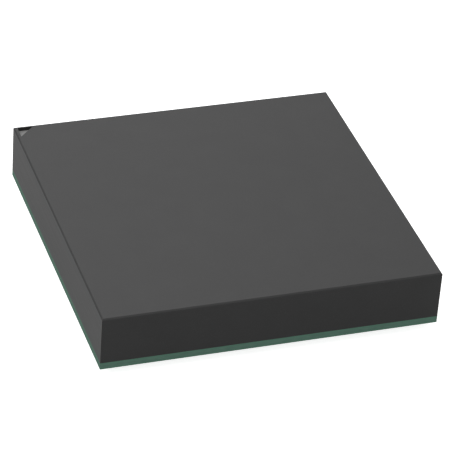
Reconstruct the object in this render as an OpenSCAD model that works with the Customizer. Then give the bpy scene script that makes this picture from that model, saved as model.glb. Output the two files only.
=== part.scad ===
// Low-profile fine-pitch ball grid array package: 64 balls under a moulded, sawn square body.
// Origin: centre of the seating plane that the balls stand on. +Z up, ball row A along +Y, column 1 at -X.

/* [Body] */
// Side of the square body, sawn flush through mould and substrate
body_w = 8; // [7.6:0.1:14]
// Height of the mould cap above the substrate
cap_h = 1.2; // [0.8:0.05:2]
// Flat left along the cap's top edges
edge_break = 0.03; // [0.01:0.005:0.06]

/* [Index corner] */
// Wall between the triangular recess and the left side
mark_side_wall = 0.09; // [0.05:0.01:0.3]
// Wall between the triangular recess and the back
mark_back_wall = 0.06; // [0.05:0.01:0.3]
// Legs of the triangle
mark_leg = 0.38; // [0.2:0.02:1]
// Depth of the recess
mark_depth = 0.11; // [0.05:0.01:0.2]
// Thickness of the pale ink on the floor of the recess
mark_ink_t = 0.015; // [0.005:0.005:0.04]

/* [Substrate] */
// Laminate core
core_t = 0.1; // [0.06:0.01:0.4]
// Copper on each face of the core
copper_t = 0.015; // [0.01:0.001:0.035]
// Solder mask over the copper
mask_t = 0.02; // [0.01:0.005:0.04]
// Width of a copper track
track_w = 0.05; // [0.03:0.005:0.07]
// Drilled hole of a via
via_d = 0.12; // [0.1:0.01:0.16]
// Wall of the plated barrel in a via
barrel_t = 0.02; // [0.01:0.005:0.03]
// Copper ring round a via, from the hole's edge
via_ring = 0.065; // [0.03:0.005:0.08]
// Nickel and gold on the fingers and lands
plating_t = 0.005; // [0.003:0.001:0.008]

/* [Balls] */
// Spacing of the balls, both ways
ball_pitch = 0.8; // [0.75:0.01:0.85]
// Diameter of a reflowed ball
ball_d = 0.44; // [0.43:0.01:0.55]
// Height of a ball below the solder mask
ball_h = 0.33; // [0.26:0.01:0.35]
// Opening in the mask that a ball is soldered through
land_d = 0.35; // [0.28:0.01:0.37]
// Mask's overlap on the rim of each copper land
land_rim = 0.05; // [0.03:0.01:0.08]

/* [Die] */
// Side of the square die
die_w = 3.6; // [3.3:0.1:4.4]
// Thickness of the die
die_t = 0.28; // [0.1:0.01:0.4]
// Adhesive film under the die
attach_t = 0.02; // [0.01:0.005:0.05]
// Passivation over the die's face
passivation_t = 0.006; // [0.003:0.001:0.01]
// Side of a square bond pad
pad_w = 0.07; // [0.06:0.005:0.1]
// Spacing of the bond pads
pad_pitch = 0.2; // [0.12:0.01:0.2]
// Die's edge to the middle of its bond pads
pad_inset = 0.08; // [0.06:0.01:0.15]

/* [Bond wires] */
// Diameter of the gold wire
wire_d = 0.025; // [0.018:0.001:0.033]
// Top of the loop above the die
loop_h = 0.16; // [0.1:0.01:0.25]
// Diameter of the squashed ball on a bond pad
bond_d = 0.054; // [0.04:0.002:0.058]
// Height of the squashed ball
bond_h = 0.014; // [0.008:0.001:0.02]
// Length of the flattened stitch on a finger
stitch_l = 0.07; // [0.04:0.01:0.1]
// Width of a bond finger
finger_w = 0.1; // [0.08:0.01:0.14]
// Length of a bond finger
finger_l = 0.3; // [0.2:0.01:0.32]
// Spacing of the bond fingers
finger_pitch = 0.28; // [0.25:0.01:0.3]
// Bare margin round the fingers in the top mask's windows
window_margin = 0.05; // [0.02:0.01:0.08]

/* [Hidden] */
ROWS = ["a", "b", "c", "d", "e", "f", "g", "h"];
$fn = 32;

// Copper runs from the 16 fingers of one side, left to right, in steps of the ball pitch.
// The last point is the via, and a run that ends at 4 leaves outwards, behind the fingers.
RUNS = [
    [[-2, 3]], [[-3, 4]], [[-1.5, 3], [-1, 2]], [[-2, 4]],
    [[-1, 3]], [[-1, 4]], [[-0.5, 3], [0, 2]], [[0, 4]],
    [[0, 3]], [[1, 4]], [[0.5, 3], [0.5, 2], [0, 1]], [[2, 4]],
    [[1, 3]], [[1.5, 3], [1, 2]], [[3, 4]], [[2, 3]]];
side_count = len(RUNS);
balls_across = len(ROWS);
// A via lies half a step from its ball, both ways
ball_from_via = [0.5, -0.5];
SIDES = [0, -90, 180, 90];
wire_sides = 6;

// Levels, from the seating plane up
z_sub = ball_h;
z_copper_b = z_sub + mask_t;
z_core = z_copper_b + copper_t;
z_copper_t = z_core + core_t;
z_finger = z_copper_t + copper_t;
z_cap = z_finger + mask_t;
z_die = z_cap + attach_t;
z_pad = z_die + die_t;
z_face = z_pad + passivation_t;
z_top = z_cap + cap_h;

// The fingers stand midway between the two outer rings of vias
finger_y = 3.5 * ball_pitch;
window_w = (side_count - 1) * finger_pitch + finger_w + 2 * window_margin;
window_l = finger_l + 2 * window_margin;
bond_pad_y = die_w / 2 - pad_inset;
land_copper_d = land_d + 2 * land_rim;
via_pad_d = via_d + 2 * via_ring;

function spread(i, count, pitch) = (i - (count - 1) / 2) * pitch;
function unit(v) = v / norm(v);
function left_of(v) = [-v.y, v.x];
function via_of(run) = ball_pitch * run[len(run) - 1];
function outward(run) = run[0].y * ball_pitch > finger_y;

// One edge of a track of half width h along the points p, mitred at the bends
function track_edge(p, h) = [for (i = [0 : len(p) - 1])
    let (ahead = unit(i < len(p) - 1 ? p[i + 1] - p[i] : p[i] - p[i - 1]),
         behind = i > 0 ? unit(p[i] - p[i - 1]) : ahead,
         mean = unit(ahead + behind))
    p[i] + left_of(mean) * h / (mean * ahead)];

function backwards(list) = [for (i = [len(list) - 1 : -1 : 0]) list[i]];

module track(p) {
    polygon(concat(track_edge(p, -track_w / 2), backwards(track_edge(p, track_w / 2))));
}

// A slab of the body's own outline
module slab(z, t) {
    translate([-body_w / 2, -body_w / 2, z]) cube([body_w, body_w, t]);
}

module centred_block(w, l, z, t) {
    translate([-w / 2, -l / 2, z]) cube([w, l, t]);
}

module on_each_side() {
    for (turn = SIDES) rotate(turn) children();
}

module at_each_via() {
    on_each_side() for (run = RUNS) translate(via_of(run)) children();
}

module at_each_ball_of(row) {
    for (column = [0 : balls_across - 1])
        translate([spread(column, balls_across, ball_pitch), -spread(row, balls_across, ball_pitch), 0])
            children();
}

module at_each_bond_pad() {
    on_each_side() for (i = [0 : side_count - 1])
        translate([spread(i, side_count, pad_pitch), bond_pad_y, 0]) children();
}

// ---- Mould ----

module index_triangle(depth, t) {
    translate([mark_side_wall - body_w / 2, body_w / 2 - mark_back_wall, z_top - depth])
        linear_extrude(t) polygon([[0, 0], [mark_leg, 0], [0, -mark_leg]]);
}

// The cap's section, the same both ways across the body
module cap_profile() {
    half = body_w / 2;
    polygon([[-half, z_cap], [half, z_cap], [half, z_top - edge_break], [half - edge_break, z_top],
             [edge_break - half, z_top], [-half, z_top - edge_break]]);
}

module cap_prism() {
    translate([0, body_w / 2, 0]) rotate([90, 0, 0]) linear_extrude(body_w) cap_profile();
}

module finger_windows(z, t) {
    on_each_side() translate([0, finger_y, 0]) centred_block(window_w, window_l, z, t);
}

module mold_cap() {
    color("#3b3b3c") difference() {
        union() {
            intersection() {
                cap_prism();
                rotate(90) cap_prism();
            }
            finger_windows(z_copper_t, z_cap - z_copper_t);
        }
        index_triangle(mark_depth, mark_depth);
        centred_block(die_w, die_w, z_cap, z_face - z_cap);
        top_copper();
        finger_plating();
        for (side = SIDES) bond_wires(side);
    }
}

module index_mark() {
    color("#9a9a98") index_triangle(mark_depth, mark_ink_t);
}

// ---- Die ----

module die() {
    color("#6d7480") centred_block(die_w, die_w, z_die, die_t);
}

module die_attach_film() {
    color("#c9b88a") centred_block(die_w, die_w, z_cap, attach_t);
}

module die_pads() {
    color("#c8cbd0") at_each_bond_pad() centred_block(pad_w, pad_w, z_pad, passivation_t);
}

module die_passivation() {
    color("#7a6a3a") difference() {
        centred_block(die_w, die_w, z_pad, passivation_t);
        die_pads();
    }
}

// ---- Bond wires ----

// Rings along a wire of horizontal reach l: [distance, height above the bond pad, slope, half width,
// half thickness]. The first two shape the ball bond and the last two the stitch, flat on its finger.
function wire_rings(l) =
    let (r = wire_d / 2,
         drop = z_finger + plating_t - z_face,
         flat = sin(60),
         fall = atan2(loop_h - drop, l - stitch_l))
    [[0, 0, 90, bond_d / 2, bond_d / 2],
     [0, bond_h, 90, bond_d / 2, bond_d / 2],
     [0, bond_h, 90, r, r],
     [0, loop_h - 2.4 * wire_d, 90, r, r],
     [wire_d, loop_h - 0.9 * wire_d, 48, r, r],
     [3 * wire_d, loop_h - r, -0.35 * fall, r, r],
     [0.55 * l, drop + 0.6 * (loop_h - drop), -fall, r, r],
     [l - stitch_l, drop + r * flat, -0.5 * fall, r, r],
     [l - 0.6 * stitch_l, drop + 0.5 * r * flat, 0, 1.4 * r, 0.5 * r],
     [l, drop + 0.25 * r * flat, 0, 1.7 * r, 0.25 * r]];

// Corners of the rings, in the plane that stands on the line from a to b
function wire_points(a, b) =
    let (along = unit(b - a), across = left_of(along))
    [for (ring = wire_rings(norm(b - a)), j = [0 : wire_sides - 1])
        let (turn = 360 / wire_sides * j,
             sideways = ring[3] * cos(turn),
             lift = ring[4] * sin(turn),
             reach = ring[0] - lift * sin(ring[2]),
             flatpoint = a + along * reach + across * sideways)
        [flatpoint.x, flatpoint.y, z_face + ring[1] + lift * cos(ring[2])]];

function tube_faces(rings, n) = concat(
    [[for (j = [0 : n - 1]) j]],
    [for (i = [0 : rings - 2], j = [0 : n - 1], half = [0, 1])
        let (k = (j + 1) % n, low = i * n, high = low + n)
        half == 0 ? [low + j, high + j, high + k] : [low + j, high + k, low + k]],
    [[for (j = [n - 1 : -1 : 0]) (rings - 1) * n + j]]);

module bond_wires(side) {
    color("#e0b040") rotate(side) for (i = [0 : side_count - 1]) {
        points = wire_points([spread(i, side_count, pad_pitch), bond_pad_y],
                             [spread(i, side_count, finger_pitch), finger_y]);
        polyhedron(points, tube_faces(len(points) / wire_sides, wire_sides));
    }
}

module bond_wires_north() { bond_wires(SIDES[0]); }
module bond_wires_east() { bond_wires(SIDES[1]); }
module bond_wires_south() { bond_wires(SIDES[2]); }
module bond_wires_west() { bond_wires(SIDES[3]); }

// ---- Substrate ----

module via_holes() {
    at_each_via() circle(d = via_d);
}

module finger_outline(i) {
    translate([spread(i, side_count, finger_pitch), finger_y]) square([finger_w, finger_l], center = true);
}

// Each finger's run starts just inside the finger, so that the two are one piece of copper
module top_runs() {
    on_each_side() for (i = [0 : side_count - 1]) {
        inside = 0.45 * finger_l;
        start = [spread(i, side_count, finger_pitch), finger_y + (outward(RUNS[i]) ? inside : -inside)];
        finger_outline(i);
        track(concat([start], [for (p = RUNS[i]) ball_pitch * p]));
        translate(via_of(RUNS[i])) circle(d = via_pad_d);
    }
}

module top_copper() {
    color("#b8733a") translate([0, 0, z_copper_t]) linear_extrude(copper_t) difference() {
        top_runs();
        via_holes();
    }
}

module finger_plating() {
    color("#dcc070") translate([0, 0, z_finger]) linear_extrude(plating_t)
        on_each_side() for (i = [0 : side_count - 1]) finger_outline(i);
}

module top_solder_mask() {
    color("#2f6b4e") difference() {
        slab(z_copper_t, z_cap - z_copper_t);
        finger_windows(z_copper_t, z_cap - z_copper_t);
        translate([0, 0, z_copper_t]) linear_extrude(copper_t) top_runs();
    }
}

module substrate_core() {
    color("#4a6b5c") difference() {
        slab(z_core, core_t);
        translate([0, 0, z_core]) linear_extrude(core_t) via_holes();
    }
}

module via_barrels() {
    color("#b8733a") at_each_via() translate([0, 0, z_copper_b]) difference() {
        cylinder(d = via_d, h = z_finger - z_copper_b);
        cylinder(d = via_d - 2 * barrel_t, h = z_finger - z_copper_b);
    }
}

module via_plugs() {
    color("#3c7a5a") at_each_via() translate([0, 0, z_copper_b])
        cylinder(d = via_d - 2 * barrel_t, h = z_finger - z_copper_b);
}

module bottom_runs() {
    on_each_side() for (run = RUNS) translate(via_of(run)) {
        circle(d = via_pad_d);
        track([[0, 0], ball_pitch * ball_from_via]);
        translate(ball_pitch * ball_from_via) circle(d = land_copper_d);
    }
}

module bottom_copper() {
    color("#b8733a") translate([0, 0, z_copper_b]) linear_extrude(copper_t) difference() {
        bottom_runs();
        via_holes();
    }
}

module bottom_solder_mask() {
    color("#2f6b4e") difference() {
        slab(z_sub, z_core - z_sub);
        translate([0, 0, z_copper_b]) linear_extrude(copper_t) bottom_runs();
        for (row = [0 : balls_across - 1]) at_each_ball_of(row)
            translate([0, 0, z_sub]) cylinder(d = land_d, h = mask_t);
    }
}

module land_plating() {
    color("#cfc9b0") for (row = [0 : balls_across - 1]) at_each_ball_of(row)
        translate([0, 0, z_copper_b - plating_t]) cylinder(d = land_d, h = plating_t);
}

// ---- Balls ----

// A reflowed ball fills its mask opening, laps its rim a little and bulges below it
module ball() {
    middle = ball_d / 2;
    rotate_extrude() {
        intersection() {
            translate([0, middle]) circle(d = ball_d, $fn = 48);
            square([middle, z_sub]);
        }
        translate([0, middle]) square([land_d / 2, z_copper_b - plating_t - middle]);
    }
}

module balls_row(row) {
    color("#b9bcc0") at_each_ball_of(row) ball();
}

mold_cap();
index_mark();
die();
die_passivation();
die_pads();
die_attach_film();
bond_wires_north();
bond_wires_east();
bond_wires_south();
bond_wires_west();
top_solder_mask();
finger_plating();
top_copper();
substrate_core();
via_barrels();
via_plugs();
bottom_copper();
land_plating();
bottom_solder_mask();
for (row = [0 : balls_across - 1])
    balls_row(row);
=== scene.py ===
import bpy
import bmesh
import math
from mathutils import Matrix, Vector
from mathutils.geometry import tessellate_polygon


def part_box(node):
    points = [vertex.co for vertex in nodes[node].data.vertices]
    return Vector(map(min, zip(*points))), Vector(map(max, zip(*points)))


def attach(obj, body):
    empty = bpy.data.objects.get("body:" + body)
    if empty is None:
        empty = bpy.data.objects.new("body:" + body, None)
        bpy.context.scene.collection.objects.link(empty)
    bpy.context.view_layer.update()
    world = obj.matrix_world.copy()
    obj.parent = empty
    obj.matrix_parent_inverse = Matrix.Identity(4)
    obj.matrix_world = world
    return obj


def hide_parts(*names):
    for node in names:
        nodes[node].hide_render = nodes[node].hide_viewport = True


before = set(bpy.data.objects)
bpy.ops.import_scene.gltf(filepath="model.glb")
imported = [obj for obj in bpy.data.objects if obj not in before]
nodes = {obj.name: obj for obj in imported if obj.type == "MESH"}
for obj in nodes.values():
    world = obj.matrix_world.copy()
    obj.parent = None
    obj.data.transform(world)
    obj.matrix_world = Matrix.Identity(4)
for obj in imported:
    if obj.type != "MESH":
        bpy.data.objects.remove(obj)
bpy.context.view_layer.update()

millimetre = 0.001
sameSpot = 1e-7  # corners closer than this are one, in metres
sameLevel = 1e-6  # and heights closer than this are level

# the sawn square, the level of its underside and its middle, all from the frame
maskLow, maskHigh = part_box("bottom_solder_mask")
bodySide = maskHigh.x - maskLow.x
underside = maskLow.z
bodyMiddle = Vector(((maskLow.x + maskHigh.x) / 2, (maskLow.y + maskHigh.y) / 2, underside))
print("stage: frame loaded")


def addNode(tree, kind, inputs=None, **settings):
    # an input is either joined to the socket that is given or set to the value
    node = tree.nodes.new(kind)
    for key, value in settings.items():
        setattr(node, key, value)
    for key, value in (inputs or {}).items():
        if isinstance(value, bpy.types.NodeSocket):
            tree.links.new(value, node.inputs[key])
        else:
            node.inputs[key].default_value = value
    return node


def emptyTree(block):
    block.use_nodes = True
    block.node_tree.nodes.clear()
    return block.node_tree


def addObject(name, data):
    added = bpy.data.objects.new(name, data)
    bpy.context.scene.collection.objects.link(added)
    return added


def startFinish(name, settings):
    # a principled shader whose even values are written on its own sockets
    material = bpy.data.materials.new(name)
    tree = emptyTree(material)
    shader = addNode(tree, "ShaderNodeBsdfPrincipled", {
        "Metallic": settings.get("metallic", 0.0),
        "Specular IOR Level": settings.get("specular", 0.5),
        "Coat Weight": settings.get("coat", 0.0),
        "Coat Roughness": settings.get("coatRoughness", 0.1)})
    addNode(tree, "ShaderNodeOutputMaterial", {"Surface": shader.outputs[0]})
    material.diffuse_color = (*settings["colour"], 1.0)
    return material, tree, shader


def inMillimetres(tree, squeeze=(1.0, 1.0, 1.0)):
    # object coordinates in millimetres, with the pattern squeezed by a factor along each axis
    place = addNode(tree, "ShaderNodeTexCoord")
    return addNode(tree, "ShaderNodeMapping", {
        "Vector": place.outputs["Object"],
        "Scale": tuple(factor / millimetre for factor in squeeze)}).outputs["Vector"]


usualNoise = (0.3, 0.7)  # nearly all of a noise's values lie between these


def noise(tree, place, size, detail=3.0, roughness=0.55):
    return addNode(tree, "ShaderNodeTexNoise", {
        "Vector": place, "Scale": 1.0 / size, "Detail": detail, "Roughness": roughness}).outputs[0]


def remap(tree, value, given, wanted=(0.0, 1.0)):
    return addNode(tree, "ShaderNodeMapRange", {
        "Value": value, "From Min": given[0], "From Max": given[1],
        "To Min": wanted[0], "To Max": wanted[1]}).outputs["Result"]


def combine(tree, operation, first, second):
    return addNode(tree, "ShaderNodeMath", {0: first, 1: second}, operation=operation).outputs[0]


def blendValues(tree, share, first, second):
    # the Mix node keeps its sockets for numbers at 2 and 3
    return addNode(tree, "ShaderNodeMix", {0: share, 2: first, 3: second}, data_type="FLOAT").outputs[0]


def blendColours(tree, share, first, second):
    # and those for colours at 6 and 7
    return addNode(tree, "ShaderNodeMix", {0: share, 6: first, 7: second}, data_type="RGBA").outputs[2]


def tint(colour, factor):
    return (*(min(1.0, channel * factor) for channel in colour), 1.0)


def shaded(tree, share, settings):
    # the finish's colour, from a little darker to a little lighter
    colour, spread = settings["colour"], settings["variation"]
    return blendColours(tree, share, tint(colour, 1 - spread), tint(colour, 1 + spread))


def bump(tree, height, distance):
    return addNode(tree, "ShaderNodeBump", {
        "Height": height, "Strength": 1.0, "Distance": distance}).outputs[0]


def facesSideways(tree, turning=(0.3, 0.6)):
    # 1 on the upright faces that the saw has cut, 0 on level ones and a blend on what turns between them
    normal = addNode(tree, "ShaderNodeTexCoord").outputs["Normal"]
    upward = addNode(tree, "ShaderNodeSeparateXYZ", {"Vector": normal}).outputs["Z"]
    return remap(tree, combine(tree, "ABSOLUTE", upward, 0.0), turning, (1.0, 0.0))


def joinFinish(tree, shader, colour, gloss, relief):
    tree.links.new(colour, shader.inputs["Base Color"])
    tree.links.new(gloss, shader.inputs["Roughness"])
    tree.links.new(relief, shader.inputs["Normal"])


def grainFinish(name, settings):
    # the common finish: a mottled colour, a fine grain in relief and an uneven gloss
    material, tree, shader = startFinish(name, settings)
    place = inMillimetres(tree, settings.get("squeeze", (1.0, 1.0, 1.0)))
    mottle = remap(tree, noise(tree, place, settings["mottleSize"]), usualNoise)
    grain = noise(tree, place, settings["grainSize"], detail=4.0, roughness=0.6)
    gloss = remap(tree, grain, usualNoise, settings["gloss"])
    if "sawnGloss" in settings:
        gloss = blendValues(tree, facesSideways(tree), gloss, settings["sawnGloss"])
    joinFinish(tree, shader, shaded(tree, mottle, settings), gloss,
               bump(tree, grain, settings["relief"] * millimetre))
    return material


# sizes in the finishes are in millimetres, and gloss is the range of the roughness
mouldLook = {
    "colour": (0.026, 0.026, 0.0261), "specular": 0.2,
    "grainSize": 0.035, "mottleSize": 0.9, "variation": 0.05,
    "topRelief": 0.0005, "sawRelief": 0.00018, "sawPitch": 0.03, "sawLength": 1.6,
    "fillerSize": 0.045, "fillerReach": (0.12, 0.3), "fillerShare": 0.12, "fillerTint": 3.0,
    "topGloss": (0.47, 0.53), "sideGloss": (0.48, 0.52)}


def mouldFinish(look):
    # matt compound with a moulded grain on top and the saw's streaks on the sides
    material, tree, shader = startFinish("mouldCompound", look)
    place = inMillimetres(tree)
    sawn = inMillimetres(tree, (1 / look["sawLength"], 1 / look["sawLength"], 1 / look["sawPitch"]))
    onSide = facesSideways(tree)
    # ground silica shows as small pale specks where the saw has cut through it
    filler = addNode(tree, "ShaderNodeTexVoronoi", {"Vector": place, "Scale": 1 / look["fillerSize"]})
    speck = remap(tree, filler.outputs["Distance"], look["fillerReach"], (1.0, 0.0))
    speck = combine(tree, "MULTIPLY", combine(tree, "MULTIPLY", speck, onSide), look["fillerShare"])
    mottle = remap(tree, noise(tree, place, look["mottleSize"]), usualNoise)
    colour = blendColours(tree, speck, shaded(tree, mottle, look), tint(look["colour"], look["fillerTint"]))
    grain = noise(tree, place, look["grainSize"], detail=4.0, roughness=0.6)
    streak = noise(tree, sawn, 1.0, detail=2.0, roughness=0.5)
    topHeight = combine(tree, "MULTIPLY", grain, look["topRelief"] * millimetre)
    sideHeight = combine(tree, "MULTIPLY", streak, look["sawRelief"] * millimetre)
    height = blendValues(tree, onSide, topHeight, sideHeight)
    gloss = blendValues(tree, onSide, remap(tree, grain, usualNoise, look["topGloss"]),
                        remap(tree, streak, usualNoise, look["sideGloss"]))
    joinFinish(tree, shader, colour, gloss, bump(tree, height, 1.0))
    return material


laminateLook = {
    "colour": (0.094, 0.173, 0.135), "specular": 0.03,
    "strand": 0.012, "strandLength": 0.35, "strandShare": 0.6,
    "bundle": 0.22, "bundleFlatness": 2.2, "bundleShare": 0.4,
    "contrast": (0.35, 0.65), "variation": 0.1, "relief": 0.0008, "gloss": (0.65, 0.85)}


def laminateFinish(look):
    # a sawn edge of glass cloth in resin: fine lying strands, with cut bundles showing paler
    material, tree, shader = startFinish("laminate", look)
    along, through = 1 / look["strandLength"], 1 / look["strand"]
    streak = noise(tree, inMillimetres(tree, (along, along, through)), 1.0, detail=2.0, roughness=0.5)
    along, through = 1 / look["bundle"], look["bundleFlatness"] / look["bundle"]
    bundle = noise(tree, inMillimetres(tree, (along, along, through)), 1.0, detail=1.0, roughness=0.4)
    shade = combine(tree, "ADD", combine(tree, "MULTIPLY", streak, look["strandShare"]),
                    combine(tree, "MULTIPLY", bundle, look["bundleShare"]))
    joinFinish(tree, shader, shaded(tree, remap(tree, shade, look["contrast"]), look),
               remap(tree, streak, usualNoise, look["gloss"]),
               bump(tree, streak, look["relief"] * millimetre))
    return material


solderLook = {
    "colour": (0.56, 0.57, 0.59), "metallic": 1.0, "crystal": 0.035, "crystalRise": 0.8, "ripple": 0.01,
    "variation": 0.035, "relief": 0.00035, "gloss": (0.28, 0.36)}


def solderFinish(look):
    # frozen crystals of slightly different sheen, each with a fine ripple
    material, tree, shader = startFinish("solder", look)
    place = inMillimetres(tree)
    crystals = addNode(tree, "ShaderNodeTexVoronoi", {"Vector": place, "Scale": 1 / look["crystal"]})
    tone = addNode(tree, "ShaderNodeSeparateColor", {"Color": crystals.outputs["Color"]}).outputs[0]
    ripple = noise(tree, place, look["ripple"], roughness=0.6)
    rise = combine(tree, "MULTIPLY", crystals.outputs["Distance"], look["crystalRise"])
    height = combine(tree, "ADD", ripple, rise)
    joinFinish(tree, shader, shaded(tree, tone, look), remap(tree, tone, (0.0, 1.0), look["gloss"]),
               bump(tree, height, look["relief"] * millimetre))
    return material


grainLooks = {
    "indexInk": {
        "colour": (0.25, 0.25, 0.248), "specular": 0.2, "mottleSize": 0.12, "grainSize": 0.02,
        "variation": 0.06, "relief": 0.001, "gloss": (0.6, 0.8)},
    "solderMask": {
        "colour": (0.08, 0.172, 0.124), "specular": 0.2, "mottleSize": 0.5, "grainSize": 0.03,
        "variation": 0.05, "relief": 0.0005, "gloss": (0.34, 0.48), "sawnGloss": 0.85},
    "maskOverCopper": {
        "colour": (0.098, 0.24, 0.145), "specular": 0.35, "mottleSize": 0.4, "grainSize": 0.02,
        "variation": 0.06, "relief": 0.0006, "gloss": (0.3, 0.44)},
    "viaFill": {
        "colour": (0.08, 0.2, 0.12), "specular": 0.4, "mottleSize": 0.05, "grainSize": 0.015,
        "variation": 0.08, "relief": 0.0006, "gloss": (0.4, 0.6)},
    "copper": {
        "colour": (0.62, 0.3, 0.16), "metallic": 1.0, "mottleSize": 0.1, "grainSize": 0.008,
        "variation": 0.07, "relief": 0.0006, "gloss": (0.36, 0.54)},
    "plating": {
        "colour": (0.83, 0.68, 0.37), "metallic": 1.0, "mottleSize": 0.08, "grainSize": 0.01,
        "variation": 0.05, "relief": 0.0005, "gloss": (0.26, 0.4)},
    "bondGold": {
        "colour": (0.88, 0.62, 0.22), "metallic": 1.0, "mottleSize": 0.05, "grainSize": 0.006,
        "variation": 0.04, "relief": 0.0002, "gloss": (0.14, 0.26), "squeeze": (1.0, 1.0, 0.4)},
    "padAluminium": {
        "colour": (0.76, 0.78, 0.81), "metallic": 1.0, "mottleSize": 0.02, "grainSize": 0.004,
        "variation": 0.05, "relief": 0.0002, "gloss": (0.2, 0.34)},
    "silicon": {
        "colour": (0.16, 0.175, 0.21), "metallic": 0.6, "mottleSize": 1.2, "grainSize": 0.02,
        "variation": 0.06, "relief": 0.0001, "gloss": (0.1, 0.2)},
    "passivation": {
        "colour": (0.2, 0.15, 0.06), "specular": 0.7, "coat": 0.6, "coatRoughness": 0.1,
        "mottleSize": 0.18, "grainSize": 0.012, "variation": 0.2, "relief": 0.0003, "gloss": (0.16, 0.3)},
    "attachFilm": {
        "colour": (0.58, 0.49, 0.3), "specular": 0.4, "mottleSize": 0.3, "grainSize": 0.02,
        "variation": 0.07, "relief": 0.0006, "gloss": (0.5, 0.7)}}

finishes = {name: grainFinish(name, look) for name, look in grainLooks.items()}
finishes["mouldCompound"] = mouldFinish(mouldLook)
finishes["laminate"] = laminateFinish(laminateLook)
finishes["solder"] = solderFinish(solderLook)

nodeFinish = {
    "mold_cap": "mouldCompound", "index_mark": "indexInk", "die": "silicon",
    "die_passivation": "passivation", "die_pads": "padAluminium", "die_attach_film": "attachFilm",
    "top_solder_mask": "solderMask", "bottom_solder_mask": "solderMask", "finger_plating": "plating",
    "land_plating": "plating", "top_copper": "copper", "bottom_copper": "copper", "via_barrels": "copper",
    "via_plugs": "viaFill", "substrate_core": "laminate"}
familyFinish = {"bond_wires_": "bondGold", "balls_row_": "solder"}
ballRows = sorted(name for name in nodes if name.startswith("balls_row_"))


def finishOf(name):
    # the bond wires and the ball rows are families of like nodes, told by how their names start
    for start, finish in familyFinish.items():
        if name.startswith(start):
            return finish
    return nodeFinish[name]


for name, node in nodes.items():
    for slot in node.material_slots:
        slot.material = finishes[finishOf(name)]
print("stage: finishes on", len(nodes), "nodes")


# the solder grid: a ball's size, the spacing and the opening that it fills
ballLook = {"perRow": 8, "aroundSteps": 48, "bulgeSteps": 20, "seed": 4}
firstLow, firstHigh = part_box(ballRows[0])
landLow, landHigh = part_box("land_plating")
ballDiameter = firstHigh.y - firstLow.y
ballRadius = ballDiameter / 2
ballPitch = (firstHigh.x - firstLow.x - ballDiameter) / (ballLook["perRow"] - 1)
landDiameter = landHigh.x - landLow.x - (ballLook["perRow"] - 1) * ballPitch


def rowStart(name):
    # the middle of a row's first ball, at the seating plane
    low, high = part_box(name)
    return Vector((low.x + ballRadius, (low.y + high.y) / 2, 0.0))


def makeBall(look):
    # a round bulge up to the mask, a narrow lap on the rim and a neck through the opening
    lapAngle = math.acos((ballRadius - underside) / ballRadius)
    angles = [lapAngle * (step + 1) / look["bulgeSteps"] for step in range(look["bulgeSteps"])]
    profile = [(ballRadius * math.sin(angle), ballRadius - ballRadius * math.cos(angle)) for angle in angles]
    profile += [(landDiameter / 2, underside), (landDiameter / 2, firstHigh.z)]
    turns = [math.tau * step / look["aroundSteps"] for step in range(look["aroundSteps"])]
    form = bmesh.new()
    foot, crown = form.verts.new((0.0, 0.0, 0.0)), form.verts.new((0.0, 0.0, firstHigh.z))
    rings = [[form.verts.new((reach * math.cos(turn), reach * math.sin(turn), level)) for turn in turns]
             for reach, level in profile]
    for step in range(look["aroundSteps"]):
        form.faces.new((foot, rings[0][step], rings[0][step - 1]))
        form.faces.new((crown, rings[-1][step - 1], rings[-1][step]))
        for lower, upper in zip(rings, rings[1:]):
            form.faces.new((lower[step - 1], lower[step], upper[step], upper[step - 1]))
    mesh = bpy.data.meshes.new("ballForm")
    form.to_mesh(mesh)
    form.free()
    for face in mesh.polygons:
        face.use_smooth = face.center.z < underside - sameLevel
    return addObject("ballForm", mesh)


def rowTree():
    # one row of balls: a line of points, a ball on each, its grain turned at random
    tree = bpy.data.node_groups.new("ballRow", "GeometryNodeTree")
    for name, kind in (("Ball", "Object"), ("Count", "Int"), ("Pitch", "Vector"), ("Start", "Vector"),
                       ("Seed", "Int"), ("Finish", "Material")):
        tree.interface.new_socket(name, in_out="INPUT", socket_type="NodeSocket" + kind)
    tree.interface.new_socket("Row", in_out="OUTPUT", socket_type="NodeSocketGeometry")
    given = addNode(tree, "NodeGroupInput").outputs
    line = addNode(tree, "GeometryNodeMeshLine", {
        "Count": given["Count"], "Start Location": given["Start"], "Offset": given["Pitch"]}, mode="OFFSET")
    form = addNode(tree, "GeometryNodeObjectInfo", {"Object": given["Ball"]})
    turn = addNode(tree, "FunctionNodeRandomValue", {
        0: (0.0, 0.0, 0.0), 1: (0.0, 0.0, math.tau), "Seed": given["Seed"]}, data_type="FLOAT_VECTOR")
    placed = addNode(tree, "GeometryNodeInstanceOnPoints", {
        "Points": line.outputs[0], "Instance": form.outputs["Geometry"], "Rotation": turn.outputs[0]})
    solid = addNode(tree, "GeometryNodeRealizeInstances", {0: placed.outputs[0]})
    dressed = addNode(tree, "GeometryNodeSetMaterial", {
        "Geometry": solid.outputs[0], "Material": given["Finish"]})
    addNode(tree, "NodeGroupOutput", {0: dressed.outputs[0]})
    return tree


def plainMesh(carrier, name):
    # what the modifier makes, kept as a plain mesh; the carrier goes
    shape = carrier.evaluated_get(bpy.context.evaluated_depsgraph_get())
    mesh = bpy.data.meshes.new_from_object(shape)
    mesh.name = name
    bpy.data.objects.remove(carrier)
    return addObject(name, mesh)


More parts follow.
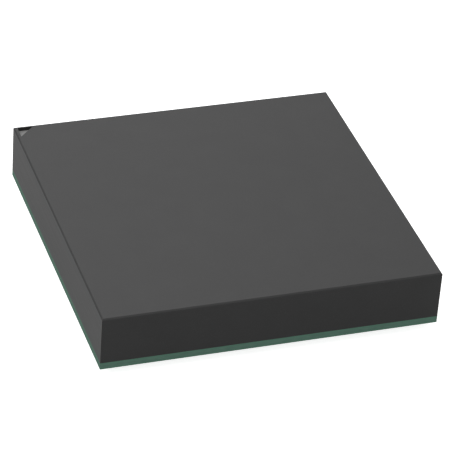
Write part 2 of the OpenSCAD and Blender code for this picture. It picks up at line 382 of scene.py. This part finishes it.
def makeRows(look):
    ball = makeBall(look)
    tree = rowTree()
    sockets = {item.name: item.identifier for item in tree.interface.items_tree if item.in_out == "INPUT"}
    for index, name in enumerate(ballRows):
        carrier = addObject("carrier", bpy.data.meshes.new("carrier"))
        modifier = carrier.modifiers.new("row", "NODES")
        modifier.node_group = tree
        inputs = {"Ball": ball, "Count": look["perRow"], "Pitch": (ballPitch, 0.0, 0.0),
                  "Start": tuple(rowStart(name)), "Seed": look["seed"] + index, "Finish": finishes["solder"]}
        for key, value in inputs.items():
            modifier[sockets[key]] = value
        row = plainMesh(carrier, name.replace("balls_row_", "solderBalls_"))
        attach(row, "root")
        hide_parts(name)
    bpy.data.objects.remove(ball)


makeRows(ballLook)
print("stage: ball rows")


# the mask stands a few micrometres proud where it runs over copper lands, tracks and vias
reliefLook = {"height": 0.005, "slope": 0.012, "sunk": 0.002, "holeSteps": 48, "smallestIsland": 0.1,
              "sharpestMitre": 0.4}


def ballRadiusAt(level):
    # the ball stands on the seating plane, so its middle is one radius up
    return math.sqrt(max(0.0, ballRadius ** 2 - (level - ballRadius) ** 2))


def copperOutlines():
    # the outer edge of each copper island, from a merged copy of the frame's own copper
    form = bmesh.new()
    form.from_mesh(nodes["bottom_copper"].data)
    bmesh.ops.remove_doubles(form, verts=form.verts, dist=sameSpot)
    level = min(corner.co.z for corner in form.verts)
    bottom = [face for face in form.faces if all(corner.co.z < level + sameLevel for corner in face.verts)]
    inBottom = set(bottom)
    rim = {}  # each corner of the rim, and the next one round it
    for face in bottom:
        for loop in face.loops:
            if not any(other in inBottom for other in loop.edge.link_faces if other is not face):
                rim[loop.vert] = loop.link_loop_next.vert
    outlines = []
    while rim:
        start, corner = rim.popitem()
        outline = [start.co.xy.copy()]
        while corner in rim:
            outline.append(corner.co.xy.copy())
            corner = rim.pop(corner)
        outlines.append(outline)
    form.free()
    return outlines


def signedArea(outline):
    return sum(a.x * b.y - b.x * a.y for a, b in zip(outline, outline[1:] + outline[:1])) / 2


def pushedOut(outline, reach, sharpestMitre):
    # each corner moved outwards along its mitre, which is held back at a sharp corner
    moved = []
    for index, corner in enumerate(outline):
        before = (corner - outline[index - 1]).normalized()
        after = (outline[(index + 1) % len(outline)] - corner).normalized()
        mitre = Vector((before.y + after.y, -before.x - after.x)).normalized()
        moved.append(corner + mitre * reach / max(sharpestMitre, mitre.dot(Vector((after.y, -after.x)))))
    return moved


def islandOutlines(smallest):
    # a via's hole is an outline too, but the mask is flat over it, so only the wide ones are kept;
    # all then run the same way round
    wide = [outline for outline in copperOutlines() if abs(signedArea(outline)) > smallest]
    return [outline if signedArea(outline) > 0 else outline[::-1] for outline in wide]


def ballCentres():
    starts = [rowStart(name).xy for name in reversed(ballRows)]
    return [start + Vector((column * ballPitch, 0.0))
            for column in range(ballLook["perRow"]) for start in starts]


def addIsland(form, outline, centre, look):
    # a sloped slab over one island, with a round hole where its ball comes through
    face = underside - look["height"] * millimetre
    root = underside + look["sunk"] * millimetre
    turns = [math.tau * step / look["holeSteps"] for step in range(look["holeSteps"])]
    hole = [centre + ballRadiusAt(face) * Vector((math.cos(turn), math.sin(turn))) for turn in turns]
    foot = pushedOut(outline, look["slope"] * millimetre, look["sharpestMitre"])
    outlineFace, holeFace, outlineRoot, holeRoot = [
        [form.verts.new((*point, level)) for point in ring]
        for ring, level in ((outline, face), (hole, face), (foot, root), (hole, root))]
    for outer, inner, facesDown in ((outlineFace, holeFace, True), (outlineRoot, holeRoot, False)):
        corners = outer + inner
        for triple in tessellate_polygon([[corner.co for corner in outer], [corner.co for corner in inner]]):
            form.faces.new([corners[number] for number in (triple if facesDown else triple[::-1])])
    for upper, lower in ((outlineRoot, outlineFace), (holeFace, holeRoot)):
        for step in range(len(upper)):
            form.faces.new((upper[step - 1], upper[step], lower[step], lower[step - 1]))


def makeRelief(look):
    outlines = islandOutlines(look["smallestIsland"] * millimetre ** 2)
    centres = ballCentres()
    form = bmesh.new()
    for outline in outlines:
        # the island's ball is the grid point that lies inside it
        centre = min(centres, key=lambda point: sum((corner - point).length_squared for corner in outline))
        addIsland(form, outline, centre, look)
    bmesh.ops.recalc_face_normals(form, faces=form.faces)
    mesh = bpy.data.meshes.new("maskRelief")
    form.to_mesh(mesh)
    form.free()
    mesh.materials.append(finishes["maskOverCopper"])
    relief = addObject("maskRelief", mesh)
    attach(relief, "root")
    print("stage: mask relief over", len(outlines), "copper islands")


makeRelief(reliefLook)


# distances and sizes are in body sides, levels in the light that a facing white sheet would return
studio = {
    "skyLevel": 0.2, "skyReflected": 1.0, "floorColour": 0.8, "floorGlow": 0.88, "floorReflected": 0.05,
    "floorSize": 40.0, "lampDistance": 15.0, "lampSize": 9.0,
    "lamps": {
        "softFront": {"azimuth": -20.0, "elevation": 60.0, "level": 0.4},
        "softLeft": {"azimuth": -75.0, "elevation": 55.0, "level": 0.385},
        "softBack": {"azimuth": 184.0, "elevation": 50.0, "level": 0.268},
        "lowBack": {"azimuth": 172.0, "elevation": 34.0, "level": 0.118}}}


def directionOf(azimuth, elevation):
    # from the middle towards a lamp or the camera: azimuth 0 is the front and 90 the right
    turn, lift = math.radians(azimuth), math.radians(elevation)
    return Vector((math.sin(turn) * math.cos(lift), -math.cos(turn) * math.cos(lift), math.sin(lift)))


def rayKinds(tree):
    # whether a ray comes from the camera, and whether metal or glass has mirrored or bent it
    ray = addNode(tree, "ShaderNodeLightPath").outputs
    return ray["Is Camera Ray"], combine(tree, "MAXIMUM", ray["Is Glossy Ray"], ray["Is Transmission Ray"])


def makeSky(look):
    # white to the camera and in reflections, and dimmer as a light
    world = bpy.data.worlds.new("studio")
    bpy.context.scene.world = world
    tree = emptyTree(world)
    seen, mirrored = rayKinds(tree)
    strength = blendValues(tree, mirrored, look["skyLevel"], look["skyReflected"])
    strength = blendValues(tree, seen, strength, 1.0)
    sky = addNode(tree, "ShaderNodeBackground", {"Color": (1, 1, 1, 1), "Strength": strength})
    addNode(tree, "ShaderNodeOutputWorld", {"Surface": sky.outputs[0]})


def makeFloor(look):
    # pale paper that shows the object's shadow, with a glow that only the camera sees in full
    half = look["floorSize"] * bodySide / 2
    corners = [(-half, -half, 0), (half, -half, 0), (half, half, 0), (-half, half, 0)]
    mesh = bpy.data.meshes.new("floor")
    mesh.from_pydata(corners, [], [range(4)])
    paper = bpy.data.materials.new("paper")
    tree = emptyTree(paper)
    seen, mirrored = rayKinds(tree)
    reflected = combine(tree, "MULTIPLY", mirrored, look["floorReflected"])
    glow = blendValues(tree, seen, reflected, look["floorGlow"])
    tone = look["floorColour"]
    sheet = addNode(tree, "ShaderNodeBsdfDiffuse", {"Color": (tone, tone, tone, 1)})
    light = addNode(tree, "ShaderNodeEmission", {"Color": (1, 1, 1, 1), "Strength": glow})
    both = addNode(tree, "ShaderNodeAddShader", {0: sheet.outputs[0], 1: light.outputs[0]})
    addNode(tree, "ShaderNodeOutputMaterial", {"Surface": both.outputs[0]})
    mesh.materials.append(paper)
    floor = addObject("floor", mesh)


def makeLamps(look):
    for name, lamp in look["lamps"].items():
        reach = look["lampDistance"] * bodySide
        data = bpy.data.lights.new(name, "AREA")
        data.shape = "SQUARE"
        data.size = look["lampSize"] * bodySide
        data.energy = lamp["level"] * (math.pi * reach) ** 2  # in watts, what gives this level at this reach
        light = addObject(name, data)
        away = directionOf(lamp["azimuth"], lamp["elevation"])
        light.location = bodyMiddle + away * reach
        light.rotation_euler = away.to_track_quat("Z", "Y").to_euler()
        light.visible_camera = False


makeSky(studio)
makeFloor(studio)
makeLamps(studio)
print("stage: studio")


# the aim is from the middle of the underside, in body sides as the other lengths are
cameraLook = {
    "azimuth": -19.995, "elevation": 34.225, "roll": 4.274, "fieldOfView": 9.238,
    "aim": (0.0539, 0.1012), "distance": 8.317, "nearest": 0.1, "furthest": 200.0}


def makeCamera(look):
    data = bpy.data.cameras.new("camera")
    data.lens_unit = "FOV"
    data.angle = math.radians(look["fieldOfView"])
    data.clip_start, data.clip_end = bodySide * look["nearest"], bodySide * look["furthest"]
    camera = addObject("camera", data)
    back = directionOf(look["azimuth"], look["elevation"])
    turn, roll = math.radians(look["azimuth"]), math.radians(look["roll"])
    level = Vector((math.cos(turn), math.sin(turn), 0.0))
    upright = back.cross(level)
    across = math.cos(roll) * level + math.sin(roll) * upright
    above = math.cos(roll) * upright - math.sin(roll) * level
    aim = bodyMiddle + Vector((*look["aim"], 0.0)) * bodySide
    place = Matrix((across, above, back)).transposed().to_4x4()
    place.translation = aim + back * look["distance"] * bodySide
    camera.matrix_world = place
    bpy.context.scene.camera = camera


makeCamera(cameraLook)
bpy.context.scene.view_settings.view_transform = "Standard"

print("stage: camera and sizes")
